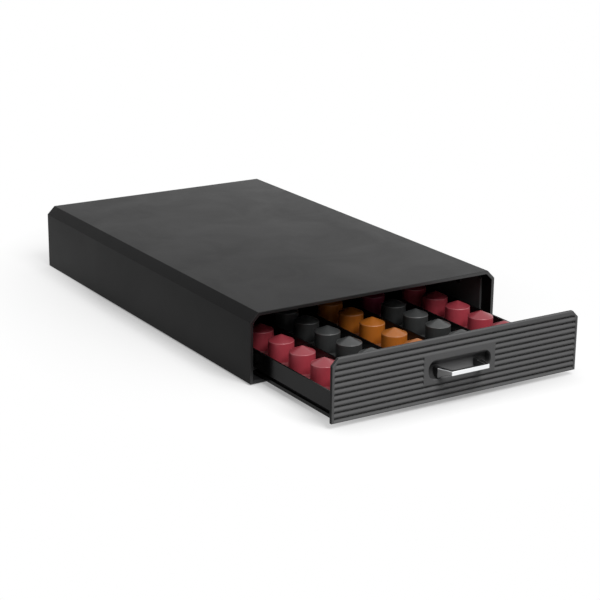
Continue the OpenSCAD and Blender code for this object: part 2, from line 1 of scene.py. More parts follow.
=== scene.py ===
# %% [markdown]
# # A coffee pod drawer, dressed in Blender
#
# The object is a flat black housing with one drawer. Its front is ribbed, its
# handle is a small chromed bow, and its five lanes hold espresso pods that
# stand upside down on their rims. The construction comes ready made from the
# CAD frame. This lesson gives every piece the edges, curves and finish that
# the real one has, and a plain studio to be seen in.

# %% Load the frame
import math
import bmesh
import bpy
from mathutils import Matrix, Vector


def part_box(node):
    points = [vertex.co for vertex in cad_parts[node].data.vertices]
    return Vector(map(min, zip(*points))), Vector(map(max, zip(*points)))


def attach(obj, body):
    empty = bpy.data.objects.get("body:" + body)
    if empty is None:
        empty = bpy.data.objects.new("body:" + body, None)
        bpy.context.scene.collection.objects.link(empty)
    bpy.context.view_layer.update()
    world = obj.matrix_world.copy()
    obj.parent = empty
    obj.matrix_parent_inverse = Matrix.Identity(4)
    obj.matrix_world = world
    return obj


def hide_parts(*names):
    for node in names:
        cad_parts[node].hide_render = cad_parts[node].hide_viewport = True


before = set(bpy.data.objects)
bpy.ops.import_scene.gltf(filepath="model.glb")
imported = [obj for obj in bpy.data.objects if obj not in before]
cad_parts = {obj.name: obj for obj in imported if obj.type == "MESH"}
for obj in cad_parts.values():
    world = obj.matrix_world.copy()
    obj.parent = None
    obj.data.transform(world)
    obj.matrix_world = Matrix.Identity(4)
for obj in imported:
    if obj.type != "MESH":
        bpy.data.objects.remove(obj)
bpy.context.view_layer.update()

MM = 0.001
print("frame nodes:", len(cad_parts))

# %% [markdown]
# ## Camera
#
# The view is set first, because it decides which details matter. The camera
# stands to the left of the drawer, a little above it, and far away with a
# long lens, so the parallel ribs stay nearly parallel.

# %% Camera
CAMERA_PLACE = (-0.88525, -1.41205, 0.54783)
CAMERA_TURN = (1.263523, -0.010414, -0.560671)
LENS_MM = 101.3
SENSOR_MM = 36.0

camera_data = bpy.data.cameras.new("camera")
camera_data.lens = LENS_MM
camera_data.sensor_width = SENSOR_MM
camera = bpy.data.objects.new("camera", camera_data)
camera.location = CAMERA_PLACE
camera.rotation_euler = CAMERA_TURN
bpy.context.scene.collection.objects.link(camera)
bpy.context.scene.camera = camera
bpy.context.scene.view_settings.view_transform = "Standard"
print("camera distance in m:", round(camera.location.length, 3))

# %% [markdown]
# ## Small tools for shader nodes
#
# A material in Blender is a graph of nodes. A few short helpers keep the
# graphs readable. The first sets an input or links it, whichever suits the
# value that it is given, and the others rest on it.

# %% Node helpers
def feed(tree, socket, value):
    if isinstance(value, bpy.types.NodeSocket):
        tree.links.new(value, socket)
    elif value is not None:
        socket.default_value = value


def add(tree, kind, inputs=None, **fields):
    node = tree.nodes.new(kind)
    for field, value in fields.items():
        setattr(node, field, value)
    for name, value in (inputs or {}).items():
        feed(tree, node.inputs[name], value)
    return node


def new_group(name, inputs, outputs):
    tree = bpy.data.node_groups.new(name, "ShaderNodeTree")
    for label, start in inputs.items():
        socket = tree.interface.new_socket(label, in_out="INPUT", socket_type="NodeSocketFloat")
        socket.default_value = start
    for label in outputs:
        tree.interface.new_socket(label, in_out="OUTPUT", socket_type="NodeSocketFloat")
    return tree, add(tree, "NodeGroupInput").outputs, add(tree, "NodeGroupOutput").inputs


def filled(tree, group, inputs):
    node = tree.nodes.new("ShaderNodeGroup")
    node.node_tree = group
    for name, value in inputs.items():
        feed(tree, node.inputs[name], value)
    return node.outputs


# %% Value helpers
def calc(tree, operation, a, b=0.0, clamp=False):
    node = tree.nodes.new("ShaderNodeMath")
    node.operation = operation
    node.use_clamp = clamp
    feed(tree, node.inputs[0], a)
    feed(tree, node.inputs[1], b)
    return node.outputs[0]


def remap(tree, value, low, high, to_low, to_high):
    node = tree.nodes.new("ShaderNodeMapRange")
    for name, given in (("Value", value), ("From Min", low), ("From Max", high),
                        ("To Min", to_low), ("To Max", to_high)):
        feed(tree, node.inputs[name], given)
    return node.outputs[0]


def blend(tree, share, first, second):
    mix = add(tree, "ShaderNodeMix", data_type="RGBA")
    for socket, value in (("Factor", share), ("A", first), ("B", second)):
        feed(tree, mix.inputs[socket], value)
    return mix.outputs["Result"]


def grey(value):
    return (value, value, value, 1.0)


def facing(tree):
    """The surface's direction, as X, Y and Z."""
    normal = add(tree, "ShaderNodeNewGeometry").outputs["Normal"]
    return add(tree, "ShaderNodeSeparateXYZ", {0: normal}).outputs


def object_place(tree):
    return add(tree, "ShaderNodeTexCoord").outputs["Object"]


# %% [markdown]
# ## Effects that several finishes share
#
# Moulded plastic has a fine spark-eroded grain, and every surface that hands
# touch has faint patches where it is a little smoother. Drawn metal has fine
# lines, and a flat top gathers a trace of dust. Each effect is a node group,
# built once, and each material sets its own sizes.

# %% Shared node groups
GRAIN_CELLS = 2500.0
PLASTIC_PATCHES = 14.0
METAL_PATCHES = 30.0
DRAWN_LINES = 3000.0
LINE_STRETCH = 0.04
DUST_SPECKS = 900.0


def build_grain():
    """Height and shade of the pebbled grain that a spark-eroded mould leaves."""
    starts = {"Cells per metre": GRAIN_CELLS}
    tree, given, out = new_group("moulded_grain", starts, ("Height", "Shade"))
    pattern = {"Vector": object_place(tree), "Scale": given["Cells per metre"]}
    cells = add(tree, "ShaderNodeTexVoronoi", pattern, feature="SMOOTH_F1")
    clouds = add(tree, "ShaderNodeTexNoise", {**pattern, "Detail": 2.0})
    height = calc(tree, "ADD", cells.outputs["Distance"], clouds.outputs["Fac"])
    feed(tree, out["Height"], calc(tree, "MULTIPLY", height, 0.5))
    feed(tree, out["Shade"], remap(tree, height, 0.4, 1.2, 0.0, 1.0))
    return tree


def build_handling():
    """A soft mask of the patches that hands and cloths have smoothed."""
    starts = {"Patches per metre": PLASTIC_PATCHES}
    tree, given, out = new_group("handling_marks", starts, ("Mask",))
    broad = add(tree, "ShaderNodeTexNoise", {
        "Vector": object_place(tree), "Scale": given["Patches per metre"],
        "Detail": 4.0, "Roughness": 0.6, "Distortion": 0.6})
    feed(tree, out["Mask"], remap(tree, broad.outputs["Fac"], 0.35, 0.65, 0.0, 1.0))
    return tree


def build_drawn_lines():
    """Height of fine lines that run along Z, as a drawing or brushing tool leaves them."""
    starts = {"Lines per metre": DRAWN_LINES, "Stretch": LINE_STRETCH}
    tree, given, out = new_group("drawn_lines", starts, ("Height",))
    squeeze = add(tree, "ShaderNodeCombineXYZ", {"X": 1.0, "Y": 1.0, "Z": given["Stretch"]})
    stretched = add(tree, "ShaderNodeVectorMath",
                    {0: object_place(tree), 1: squeeze.outputs[0]}, operation="MULTIPLY")
    lines = add(tree, "ShaderNodeTexNoise", {
        "Vector": stretched.outputs[0], "Scale": given["Lines per metre"], "Detail": 3.0})
    feed(tree, out["Height"], lines.outputs["Fac"])
    return tree


def build_dust():
    """A mask of sparse dust on faces that look up."""
    tree, given, out = new_group("settled_dust", {"Specks per metre": DUST_SPECKS}, ("Mask",))
    specks = add(tree, "ShaderNodeTexNoise", {
        "Vector": object_place(tree), "Scale": given["Specks per metre"], "Detail": 6.0})
    sparse = remap(tree, specks.outputs["Fac"], 0.62, 0.8, 0.0, 1.0)
    level = remap(tree, facing(tree)["Z"], 0.7, 1.0, 0.0, 1.0)
    feed(tree, out["Mask"], calc(tree, "MULTIPLY", sparse, level, clamp=True))
    return tree


GRAIN = build_grain()
HANDLING = build_handling()
DRAWN = build_drawn_lines()
DUST = build_dust()
print("node groups:", [group.name for group in (GRAIN, HANDLING, DRAWN, DUST)])

# %% [markdown]
# ## Finishes
#
# Each finish is a Principled BSDF whose even values sit on its own sockets.
# Only what changes over the surface comes from the groups: the base colour
# wanders a few per cent, the roughness drops where hands polish it, and the
# grain tilts the normal. Four finishes add something of their own:
#
# - the front's grey is darkened by painted shade where the panel's own mask says so
# - the cover's front rim mirrors more than its broad faces
# - a pod's cone has painted shade on the coloured pods and painted light on
#   the grey ones, and its shoulder has a painted highlight
# - the bow's chrome has a painted grey reflection on the arms' outer flanks, a
#   painted highlight on their rounded edges, and painted shade on top, on the
#   inner flanks and inside the recess

# %% Finish helpers
def shaded(tree, colour, spread, mask):
    """The colour, spread a little to both sides by a mask from 0 to 1."""
    dark = tuple(c * (1 - spread) for c in colour) + (1.0,)
    light = tuple(min(1.0, c * (1 + spread)) for c in colour) + (1.0,)
    return blend(tree, mask, dark, light)


def start_material(name):
    material = bpy.data.materials.new(name)
    material.use_nodes = True
    tree = material.node_tree
    return material, tree, tree.nodes["Principled BSDF"]


def tilt(tree, surface, height, depth_mm):
    """Lets a height from 0 to 1 tilt the surface's normal, as relief depth_mm deep."""
    bump = add(tree, "ShaderNodeBump", {
        "Height": height, "Strength": 1.0, "Distance": depth_mm * MM})
    feed(tree, surface.inputs["Normal"], bump.outputs["Normal"])


# %% Plastic
TINT_SPREAD = 0.08
POLISH = 0.03
DUST_GREY = grey(0.3)
# The near black that the front's grey is darkened towards as painted shade.
SHADE_BLACK = grey(0.006)


def plastic(name, colour, roughness, specular=0.5, relief=0.02, dusty=0.0, painted=False, rim=None):
    """Moulded plastic. With painted, the mesh's own mask darkens it as painted shade. A rim mirrors
    more in front.
    """
    material, tree, surface = start_material(name)
    grain = filled(tree, GRAIN, {"Cells per metre": GRAIN_CELLS})
    handled = filled(tree, HANDLING, {"Patches per metre": PLASTIC_PATCHES})["Mask"]
    tint = shaded(tree, colour, TINT_SPREAD, grain["Shade"])
    if dusty:
        specks = filled(tree, DUST, {"Specks per metre": DUST_SPECKS})["Mask"]
        tint = blend(tree, calc(tree, "MULTIPLY", specks, dusty), tint, DUST_GREY)
    # Painted shade: the mesh's own mask darkens the colour towards near black.
    if painted:
        painted_dark = add(tree, "ShaderNodeAttribute", attribute_name="painted_shade").outputs["Fac"]
        tint = blend(tree, painted_dark, tint, SHADE_BLACK)
    feed(tree, surface.inputs["Base Color"], tint)
    polished = remap(tree, handled, 0.0, 1.0, roughness + POLISH, roughness - POLISH)
    feed(tree, surface.inputs["Roughness"], polished)
    surface.inputs["Specular IOR Level"].default_value = specular
    if rim:
        ahead = remap(tree, facing(tree)["Y"], -0.6, -0.95, specular, rim)
        feed(tree, surface.inputs["Specular IOR Level"], ahead)
    tilt(tree, surface, grain["Height"], relief)
    return material


COVER_BLACK = plastic("cover_black", (0.006, 0.006, 0.0062), roughness=0.35,
                      specular=0.05, relief=0.012, dusty=0.1, rim=0.7)
BASE_BLACK = plastic("base_black", (0.012, 0.012, 0.013), roughness=0.6)
RAIL_BLACK = plastic("rail_black", (0.075, 0.075, 0.076), roughness=0.35, relief=0.006)
TRAY_BLACK = plastic("tray_black", (0.004, 0.004, 0.0042), roughness=0.2,
                     specular=0.08, relief=0.004)
DIVIDER_BLACK = plastic("divider_black", (0.006, 0.006, 0.0062), roughness=0.16,
                        specular=0.3, relief=0.003)
# The front's grey, with painted shade in its grooves, its recess' ends and on its side edges.
FRONT_GREY = plastic("front_grey", (0.142, 0.142, 0.143), roughness=0.55,
                     specular=0.05, relief=0.012, painted=True)


# %% Rubber
RUBBER_CELLS = 1200.0
RUBBER_SPREAD = 0.2
RUBBER_RELIEF = 0.05


def rubber(name, colour):
    material, tree, surface = start_material(name)
    grain = filled(tree, GRAIN, {"Cells per metre": RUBBER_CELLS})
    feed(tree, surface.inputs["Base Color"], shaded(tree, colour, RUBBER_SPREAD, grain["Shade"]))
    feed(tree, surface.inputs["Roughness"], remap(tree, grain["Shade"], 0.0, 1.0, 0.75, 0.9))
    tilt(tree, surface, grain["Height"], RUBBER_RELIEF)
    return material


RUBBER = rubber("rubber", (0.012, 0.012, 0.012))


# %% Metal
LACQUER_ROUGHNESS = 0.2
# Painted highlight: a light grey ring on the pods' shoulders.
PAINTED_GLINT = grey(0.8)
PAINTED_GLINT_SHARE = 0.1


def pod_painted_light(tree, tint, colour, cone):
    """Paints light and shade: the cone gets its own share of the colour's brightness, the shoulder
    a highlight.
    """
    upward = facing(tree)["Z"]
    on_cone = remap(tree, upward, 0.4, 0.8, 0.0, 1.0)
    tint = blend(tree, on_cone, tint, tuple(c * cone for c in colour) + (1.0,))
    above_wall = remap(tree, upward, 0.18, 0.3, 0.0, PAINTED_GLINT_SHARE)
    below_cone = remap(tree, upward, 0.6, 0.8, 1.0, 0.0)
    return blend(tree, calc(tree, "MULTIPLY", above_wall, below_cone), tint, PAINTED_GLINT)


def metal(name, colour, roughness, metallic=1.0, lines=DRAWN_LINES, relief=0.004, spread=0.05,
          coat=0.0, cone=None):
    """Drawn metal. The coat is clear lacquer; cone is the painted brightness of a pod's cone."""
    material, tree, surface = start_material(name)
    drawn = filled(tree, DRAWN, {"Lines per metre": lines, "Stretch": LINE_STRETCH})["Height"]
    handled = filled(tree, HANDLING, {"Patches per metre": METAL_PATCHES})["Mask"]
    tint = shaded(tree, colour, spread, drawn)
    if cone:
        tint = pod_painted_light(tree, tint, colour, cone)
    feed(tree, surface.inputs["Base Color"], tint)
    polished = remap(tree, handled, 0.0, 1.0, roughness * 1.1, roughness * 0.9)
    feed(tree, surface.inputs["Roughness"], polished)
    surface.inputs["Metallic"].default_value = metallic
    surface.inputs["Coat Weight"].default_value = coat
    surface.inputs["Coat Roughness"].default_value = LACQUER_ROUGHNESS
    tilt(tree, surface, drawn, relief)
    return material


def lacquered_pod(name, colour, cone):
    return metal(name, colour, roughness=0.45, metallic=0.05, coat=0.35, cone=cone)


STEEL = metal("screw_steel", (0.5, 0.5, 0.51), roughness=0.35)
FOIL = metal("foil", (0.6, 0.6, 0.61), roughness=0.3, lines=1500.0, relief=0.01)
# A cone share below 1 is painted shade, and above 1 painted light.
POD_RED = lacquered_pod("pod_red", (0.5, 0.058, 0.082), cone=0.66)
POD_GREY = lacquered_pod("pod_grey", (0.04, 0.042, 0.042), cone=1.2)
POD_ORANGE = lacquered_pod("pod_orange", (0.55, 0.165, 0.016), cone=0.78)
# A darker red for the rear pod of lane 4, as painted shade for the dark inside of the housing.
POD_DARK_RED = lacquered_pod("pod_burgundy", (0.25, 0.015, 0.05), cone=0.6)


# %% Chrome
PANEL_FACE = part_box("front_panel")[0].y
CHROME_BRIGHT = (0.85, 0.86, 0.87)
# Painted reflection: an even grey on the arms' outer flanks. Painted shade: a dark grey on top, on
# the inner flanks and in the recess.
PAINTED_FLANK_GREY = grey(0.52)
SHADE_GREY = grey(0.02)


def bow_chrome():
    """Bright chrome with a painted grey reflection on the outer flanks, a painted highlight on
    their edges, and painted shade on top, in the recess and between the arms.
    """
    material = metal("handle_chrome", CHROME_BRIGHT, roughness=0.32, relief=0.0008, spread=0.01)
    tree = material.node_tree
    surface = tree.nodes["Principled BSDF"]
    bright = surface.inputs["Base Color"].links[0].from_socket
    place = add(tree, "ShaderNodeSeparateXYZ", {0: object_place(tree)}).outputs
    normal = facing(tree)
    sideways = calc(tree, "ABSOLUTE", normal["X"])
    flank = remap(tree, sideways, 0.75, 0.9, 0.0, 1.0)
    inward = remap(tree, calc(tree, "MULTIPLY", normal["X"], place["X"]), -0.002, 0.002, 1.0, 0.0)
    sunk = remap(tree, place["Y"], PANEL_FACE - 0.2 * MM, PANEL_FACE + 0.6 * MM, 0.0, 1.0)
    painted_dark = calc(tree, "MAXIMUM", sunk, calc(tree, "MULTIPLY", flank, inward))
    level = remap(tree, normal["Z"], 0.93, 0.99, 0.0, 0.8)
    chrome_colour = blend(tree, flank, bright, PAINTED_FLANK_GREY)
    chrome_colour = blend(tree, calc(tree, "MAXIMUM", painted_dark, level), chrome_colour, SHADE_GREY)
    feed(tree, surface.inputs["Base Color"], chrome_colour)
    # Where metal is turned off, the colours show as paint: the bright one as a painted highlight on
    # the outer rounded edges.
    outward = calc(tree, "SUBTRACT", 1.0, inward)
    outer = calc(tree, "MULTIPLY", remap(tree, sideways, 0.15, 0.35, 0.0, 1.0), outward)
    painted_share = calc(tree, "MAXIMUM", outer, painted_dark)
    feed(tree, surface.inputs["Metallic"], calc(tree, "SUBTRACT", 1.0, painted_share, clamp=True))
    return material


CHROME = bow_chrome()
print("finishes:", len(bpy.data.materials))

# %% [markdown]
# ## Shape tools
#
# A ready CAD solid has razor edges, and no moulding is that sharp. The first
# tool copies a node's mesh, joins its triangles back into flat faces and
# rounds each edge a little, which gives the thin highlights that a plastic
# edge has. The second turns an outline round an axis, for pods.

# %% Shape tools
def dress(piece, body, material, nodes):
    """Finishes a new piece: its material, the body it moves with and the nodes it stands for."""
    piece.data.materials.clear()
    piece.data.materials.append(material)
    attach(piece, body)
    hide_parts(*nodes)


def piece_from(bm, name):
    mesh = bpy.data.meshes.new(name)
    bmesh.ops.recalc_face_normals(bm, faces=bm.faces)
    bm.to_mesh(mesh)
    bm.free()
    piece = bpy.data.objects.new(name, mesh)
    bpy.context.scene.collection.objects.link(piece)
    return piece


def soften_angle(mesh, degrees):
    mesh.shade_smooth()
    mesh.set_sharp_from_angle(angle=math.radians(degrees))


# %% Rounded copies
WELD = 0.002 * MM
FLAT_DEGREES = 0.4
SHARP_DEGREES = 40


def rounded_copy(node, name, width_mm, segments=2):
    """A copy of a CAD node with its sharp edges rounded to width_mm."""
    bm = bmesh.new()
    bm.from_mesh(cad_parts[node].data)
    bmesh.ops.remove_doubles(bm, verts=bm.verts, dist=WELD)
    flat = math.radians(FLAT_DEGREES)
    bmesh.ops.dissolve_limit(bm, angle_limit=flat, verts=bm.verts, edges=bm.edges)
    piece = piece_from(bm, name)
    for extra in ("custom_normal", "sharp_edge", "sharp_face"):
        if extra in piece.data.attributes:
            piece.data.attributes.remove(piece.data.attributes[extra])
    piece.data.shade_smooth()
    bevel = piece.modifiers.new("rounded edges", "BEVEL")
    bevel.width = width_mm * MM
    bevel.segments = segments
    bevel.limit_method = "ANGLE"
    bevel.angle_limit = math.radians(SHARP_DEGREES)
    bevel.harden_normals = True
    bevel.use_clamp_overlap = False
    bevel.miter_outer = "MITER_ARC"
    return piece


# %% Turned shapes
TIP_RADIUS = 1e-9


def arc(centre, radius, start, end, steps):
    """Points on an arc in a profile plane, angles in degrees."""
    angles = [math.radians(start + (end - start) * i / steps) for i in range(steps + 1)]
    return [(centre[0] + radius * math.cos(a), centre[1] + radius * math.sin(a)) for a in angles]


def turned(bm, profile, place, segments):
    """Adds to bm the shape that a profile of (radius, height) makes when it turns about Z."""
    angles = [2 * math.pi * i / segments for i in range(segments)]
    rings = []
    for radius, height in profile:
        if radius < TIP_RADIUS:
            rings.append([bm.verts.new(Vector((0, 0, height)) + place)])
            continue
        ring = [Vector((radius * math.cos(a), radius * math.sin(a), height)) for a in angles]
        rings.append([bm.verts.new(point + place) for point in ring])
    for low, high in zip(rings, rings[1:]):
        for i in range(segments):
            j = (i + 1) % segments
            corners = [low[i % len(low)], low[j % len(low)],
                       high[j % len(high)], high[i % len(high)]]
            bm.faces.new(list(dict.fromkeys(corners)))


# %% [markdown]
# ## Housing
#
# The cover is one folded shape: a flat top, two long chamfers and two side
# walls. It keeps its CAD form, and only its edges are eased. The base, the
# back and the guide rails are treated in the same way.

# %% Housing
HOUSING_SHELLS = (
    ("housing_cover", "cover", 0.35, COVER_BLACK, "cover_black"),
    ("housing_base", "base_plate", 0.3, BASE_BLACK, "base_black"),
    ("back_panel", "rear_panel", 0.3, BASE_BLACK, "base_black"),
    ("guide_rail_left", "rail_left", 0.25, RAIL_BLACK, "rail_black"),
    ("guide_rail_right", "rail_right", 0.25, RAIL_BLACK, "rail_black"),
)
for node, name, ease, material, slot_name in HOUSING_SHELLS:
    dress(rounded_copy(node, name, ease), "housing", material, (node,))
    print(name, "edges eased by", ease, "mm")

# %% [markdown]
# ## Drawer body
#
# The tray, the chassis below it and the four dividers are plain mouldings
# too. The tray's top edges catch a thin line of light.

# %% Drawer body
DRAWER_SHELLS = (
    ("pod_tray", "tray", 0.3, TRAY_BLACK, "tray_black"),
    ("drawer_chassis", "chassis", 0.3, TRAY_BLACK, "tray_black"),
    ("divider_1", "lane_wall_1", 0.2, DIVIDER_BLACK, "divider_black"),
    ("divider_2", "lane_wall_2", 0.2, DIVIDER_BLACK, "divider_black"),
    ("divider_3", "lane_wall_3", 0.2, DIVIDER_BLACK, "divider_black"),
    ("divider_4", "lane_wall_4", 0.2, DIVIDER_BLACK, "divider_black"),
)
for node, name, ease, material, slot_name in DRAWER_SHELLS:
    dress(rounded_copy(node, name, ease), "drawer", material, (node,))
    print(name, "edges eased by", ease, "mm")

# %% [markdown]
# ## Front panel
#
# Ten grooves run across the panel and stop before its ends. A plain field in
# the middle holds the finger recess, which starts flush at its upper edge and
# deepens downwards. All of that is one depth at each point, so the panel is a
# fine grid of points that is pushed in by a formula, not a block with ten
# cutters. The grid's lines stand close where the shape turns sharply.

# %% Front panel sizes
front_low, front_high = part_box("front_panel")
HALF = front_high.x
BOTTOM = front_low.z
TOP = front_high.z
CORNER_CUT = 6.37 * MM
PANEL_THICK = 3.4 * MM
EDGE_ROUND = 0.7 * MM
GROOVE_FIRST = BOTTOM + 3.3 * MM
GROOVE_PITCH = 5.5 * MM
GROOVES = 10
GROOVE_DEPTH = 2.4 * MM
GROOVE_MARGIN = 2.8 * MM
GROOVE_END = 0.5 * MM
FIELD_HALF = 40 * MM
FIELD_GROOVES = range(3, 8)
RECESS_HALF = 35 * MM
RECESS_LOW = BOTTOM + 20.3 * MM
RECESS_HIGH = BOTTOM + 39.7 * MM
RECESS_TURN = RECESS_LOW + 11 * MM
RECESS_DEPTH = 8 * MM
RECESS_ROUND = 9 * MM
RECESS_EDGE = 0.8 * MM
SHELL_HALF = RECESS_HALF + 1.8 * MM
SHELL_LOW = RECESS_LOW - 1.8 * MM
SHELL_BACK = 9.8 * MM
SHELL_SLOPE = 8 * MM
SEAT_MIDDLE = 22.7 * MM
SEAT_HALF = 2.5 * MM
SEAT_LOW = BOTTOM + 21.7 * MM
SEAT_HIGH = BOTTOM + 31.1 * MM
SEAT_DEPTH = 7.4 * MM


# %% Front panel depth
def smooth(t):
    t = min(1.0, max(0.0, t))
    return t * t * (3 - 2 * t)


def half_at(z):
    """Half of the panel's width at height z, narrower at its cut top corners."""
    return min(HALF, HALF + (TOP - CORNER_CUT) - z)


def groove_depth_at(x, z):
    index = round((z - GROOVE_FIRST) / GROOVE_PITCH)
    if not 0 <= index < GROOVES:
        return 0.0
    middle = GROOVE_FIRST + index * GROOVE_PITCH
    across = abs(z - middle) / (GROOVE_PITCH / 2)
    end = half_at(middle + GROOVE_PITCH / 3) - GROOVE_MARGIN
    inside = smooth((end - abs(x)) / GROOVE_END + 1)
    if index in FIELD_GROOVES:
        inside *= smooth((abs(x) - FIELD_HALF) / GROOVE_END + 0.5)
    return GROOVE_DEPTH * max(0.0, 1 - across) ** 2 * inside


def recess_edge_gap(x, z):
    """How far a point lies inside the recess' outline, whose four corners are round."""
    over = max(0.0, abs(x) - (RECESS_HALF - RECESS_ROUND))
    off = max(RECESS_LOW + RECESS_ROUND - z, z - (RECESS_HIGH - RECESS_ROUND), 0.0)
    if over > 0 and off > 0:
        return RECESS_ROUND - math.hypot(over, off)
    return min(RECESS_HALF - abs(x), RECESS_ROUND)


def recess_depth_at(x, z):
    """Depth of the scoop: a soft fall from the upper edge, then a floor that curves out."""
    if not RECESS_LOW < z < RECESS_HIGH or abs(x) > RECESS_HALF:
        return 0.0
    edge = recess_edge_gap(x, z)
    if edge <= 0:
        return 0.0
    if z > RECESS_TURN:
        t = (RECESS_HIGH - z) / (RECESS_HIGH - RECESS_TURN)
        deep = RECESS_DEPTH * (1 - math.cos(math.pi * t)) / 2
    else:
        t = (RECESS_TURN - z) / (RECESS_TURN - RECESS_LOW)
        deep = RECESS_DEPTH * math.sqrt(max(0.0, 1 - t * t))
    if abs(abs(x) - SEAT_MIDDLE) < SEAT_HALF and SEAT_LOW < z < SEAT_HIGH:
        deep = min(deep, SEAT_DEPTH)
    return deep * smooth(edge / RECESS_EDGE)


def border_round(gap):
    """How far the face falls back within the rounding of its outer edge."""
    gap = max(0.0, min(gap, EDGE_ROUND))
    return EDGE_ROUND - math.sqrt(EDGE_ROUND ** 2 - (EDGE_ROUND - gap) ** 2)


def shell_bulge(x, z):
    """How far the panel's back stands out behind the recess."""
    if abs(x) > SHELL_HALF or z < SHELL_LOW or z > RECESS_HIGH:
        return 0.0
    return (SHELL_BACK - PANEL_THICK) * min(1.0, (RECESS_HIGH - z) / SHELL_SLOPE)


# %% Front panel painted shade
# Shares of painted shade on the side edges, in the grooves' bottoms and in the recess' ends.
EDGE_SHADE = 0.65
GROOVE_SHADE = 0.5
RECESS_SHADE = 0.7


def painted_shade_at(x, groove, scoop, outer_gap):
    """How much painted shade darkens the front: in the grooves' bottoms, the recess' ends and on
    the side edges.
    """
    if outer_gap < 0.1 * EDGE_ROUND:
        return EDGE_SHADE
    in_groove = GROOVE_SHADE * smooth((groove - 1.1 * MM) / (1.0 * MM))
    towards_end = smooth((abs(x) - 16 * MM) / (9 * MM))
    in_ends = RECESS_SHADE * towards_end * smooth((scoop - 0.6 * MM) / (2 * MM))
    return max(in_groove, in_ends)


# %% Front panel grid steps
SLANT_FROM = 120 * MM
FINE_STEP = 0.4 * MM
SHELL_STEP = 0.05 * MM
ROW_LEAST = 0.015 * MM
ROW_MOST = 0.8 * MM
COLUMN_LEAST = 0.03 * MM
COLUMN_MOST = 3 * MM
EDGE_STEPS = (0.0, 0.04, 0.16, 0.36, 0.64, 1.0)
GROOVE_STEPS = (-1, -0.8, -0.6, -0.42, -0.28, -0.17, -0.08, 0, 0.08, 0.17, 0.28, 0.42, 0.6, 0.8, 1)
SCOOP_FLOOR_STEPS = (0, 0.004, 0.02, 0.06)
SCOOP_WALL_STEPS = (0.12, 0.25, 0.4, 0.6, 0.8, 1.0)
FIELD_STEPS_MM = (-0.25, -0.1, 0.0, 0.1, 0.25)
GROOVE_END_STEPS_MM = (12, 8, 5, 3.4, 3.05, 2.8, 2.55, 2.3, 1.4)


def grid_lines(breaks, coarse):
    """Breaks in rising order, with even steps no longer than coarse between them."""
    lines = [breaks[0]]
    for a, b in zip(breaks, breaks[1:]):
        n = max(1, math.ceil((b - a) / coarse - 1e-6))
        lines += [a + (b - a) * i / n for i in range(1, n + 1)]
    return lines


def thinned(lines, least):
    """The lines in rising order, without any that follows another closer than least."""
    kept = []
    for line in sorted(lines):
        if not kept or line - kept[-1] > least:
            kept.append(line)
    return kept


# %% Front panel grid
def front_rows():
    """Heights of the grid's rows."""
    marks = {BOTTOM + EDGE_ROUND * s for s in EDGE_STEPS}
    marks |= {TOP - EDGE_ROUND * s for s in EDGE_STEPS}
    for i in range(GROOVES):
        marks |= {GROOVE_FIRST + (i + s / 2) * GROOVE_PITCH for s in GROOVE_STEPS}
    marks |= {RECESS_LOW + s * (RECESS_TURN - RECESS_LOW) for s in SCOOP_FLOOR_STEPS}
    marks |= set(grid_lines([RECESS_LOW + 0.5 * MM, RECESS_HIGH], FINE_STEP))
    marks |= {SHELL_LOW, SHELL_LOW - SHELL_STEP}
    return grid_lines(thinned(marks, ROW_LEAST), ROW_MOST)


def front_columns():
    """Distances from the middle, and past SLANT_FROM shares of the way to the slanted edge."""
    bend = RECESS_HALF - RECESS_ROUND
    marks = {0.0, bend, RECESS_HALF, SHELL_HALF, SHELL_HALF + SHELL_STEP, SLANT_FROM}
    marks |= {RECESS_HALF - RECESS_EDGE * s for s in SCOOP_WALL_STEPS}
    marks |= {FIELD_HALF + s * MM for s in FIELD_STEPS_MM}
    inner = set(grid_lines(sorted(marks), COLUMN_MOST))
    inner |= set(grid_lines([bend, RECESS_HALF - RECESS_EDGE], FINE_STEP))
    reach = HALF - SLANT_FROM
    outer = [1 - s * MM / reach for s in GROOVE_END_STEPS_MM]
    outer += [1 - EDGE_ROUND * s / reach for s in reversed(EDGE_STEPS)]
    return thinned(inner, COLUMN_LEAST), outer


def place_column(column, z):
    side, kind, value = column
    if kind == "inner":
        return side * value
    return side * (SLANT_FROM + value * (half_at(z) - SLANT_FROM))


# %% Front panel
FRONT_SHARP_DEGREES = 38


def face_point(x, z, gap):
    """Depth of the panel's front at a point, and how much painted shade it has there."""
    groove, scoop = groove_depth_at(x, z), recess_depth_at(x, z)
    deep = max(groove, scoop, border_round(min(gap, TOP - z, z - BOTTOM)))
    return deep, painted_shade_at(x, groove, scoop, gap)


def panel_side(bm, rows, columns, back):
    """One skin of the panel, its front or its back, as rows of vertices with faces between."""
    # This layer carries the painted shade of each point.
    shade_layer = bm.verts.layers.float["painted_shade"]
    grid = []
    for z in rows:
        line = []
        for column in columns:
            x = place_column(column, z)
            if back:
                y, painted_dark = PANEL_FACE + PANEL_THICK + shell_bulge(x, z), EDGE_SHADE
            else:
                deep, painted_dark = face_point(x, z, half_at(z) - abs(x))
                y = PANEL_FACE + deep
            vertex = bm.verts.new((x, y, z))
            vertex[shade_layer] = painted_dark
            line.append(vertex)
        grid.append(line)
    for low, high in zip(grid, grid[1:]):
        for i in range(len(columns) - 1):
            bm.faces.new((low[i], low[i + 1], high[i + 1], high[i]))
    return grid


def outer_loop(grid):
    """The vertices round the outside of a grid, in order."""
    up = [row[-1] for row in grid[1:]]
    down = [row[0] for row in grid[-2:0:-1]]
    return grid[0] + up + grid[-1][-2::-1] + down


